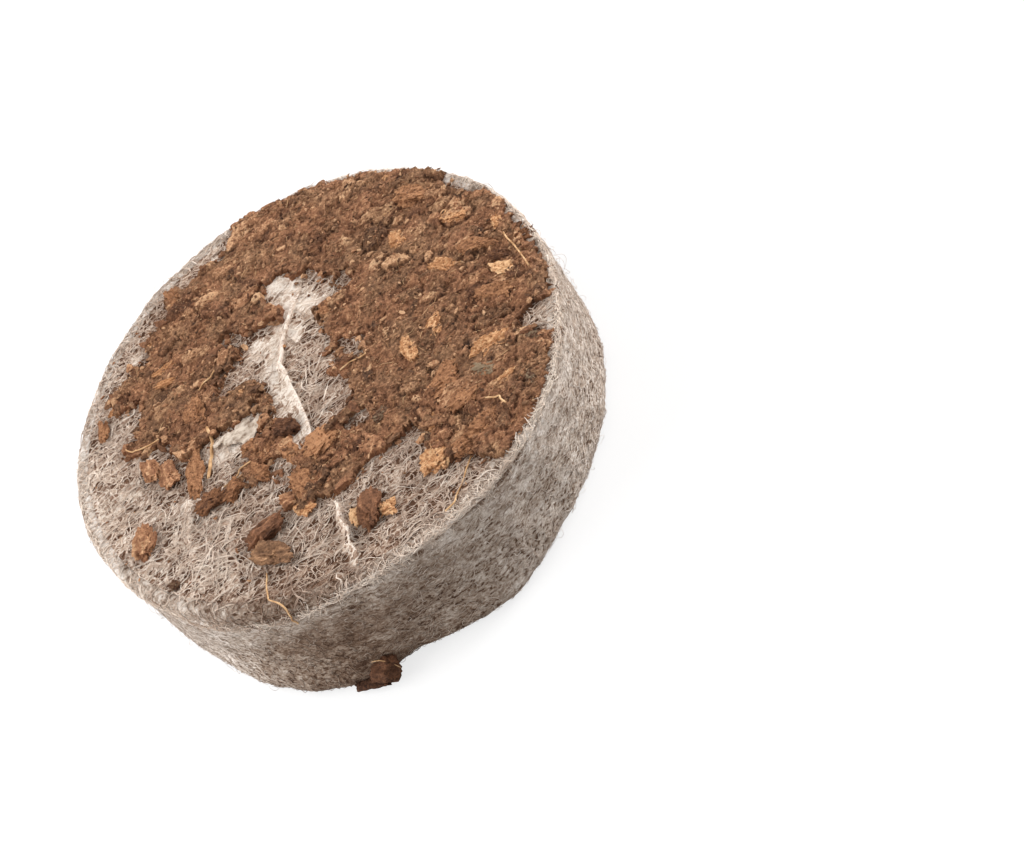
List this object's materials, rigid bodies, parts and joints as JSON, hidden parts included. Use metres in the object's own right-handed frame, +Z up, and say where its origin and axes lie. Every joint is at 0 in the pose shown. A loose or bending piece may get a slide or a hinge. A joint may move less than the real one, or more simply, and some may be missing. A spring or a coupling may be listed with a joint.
{
  "type": "coir pellet",
  "caption": "Round dry pellet of pressed coir in a fleece bag, with a crust of coir crumbs, husk chips and fibres on top; it swells with water to raise seedlings.",
  "frame": {"origin": "centre of the underside, on the floor", "axes": "+Z up through the top sheet; the picture looks from -Y"},
  "size_m": [0.0422, 0.0422, 0.0115],
  "materials": {
    "pressed_coir": "matte, pressed coir",
    "fleece": "matte non-woven fleece",
    "coir_crumb": "matte, crumbly",
    "husk_tan": "matte, torn fibre",
    "husk_brown": "matte, torn fibre",
    "husk_dark": "matte, torn fibre",
    "coir_fibre": "satin plant fibre"
  },
  "bodies": {
    "root": {"coir_core": "pressed_coir", "fleece_sleeve": "fleece", "fleece_top": "fleece", "fleece_bottom": "fleece", "coir_crust": "coir_crumb", "coir_lumps": "coir_crumb", "husk_chips_tan": "husk_tan", "husk_chips_brown": "husk_brown", "husk_chips_dark": "husk_dark", "coir_fibres": "coir_fibre", "foot_clod": "coir_crumb"}
  },
  "joints": []
}
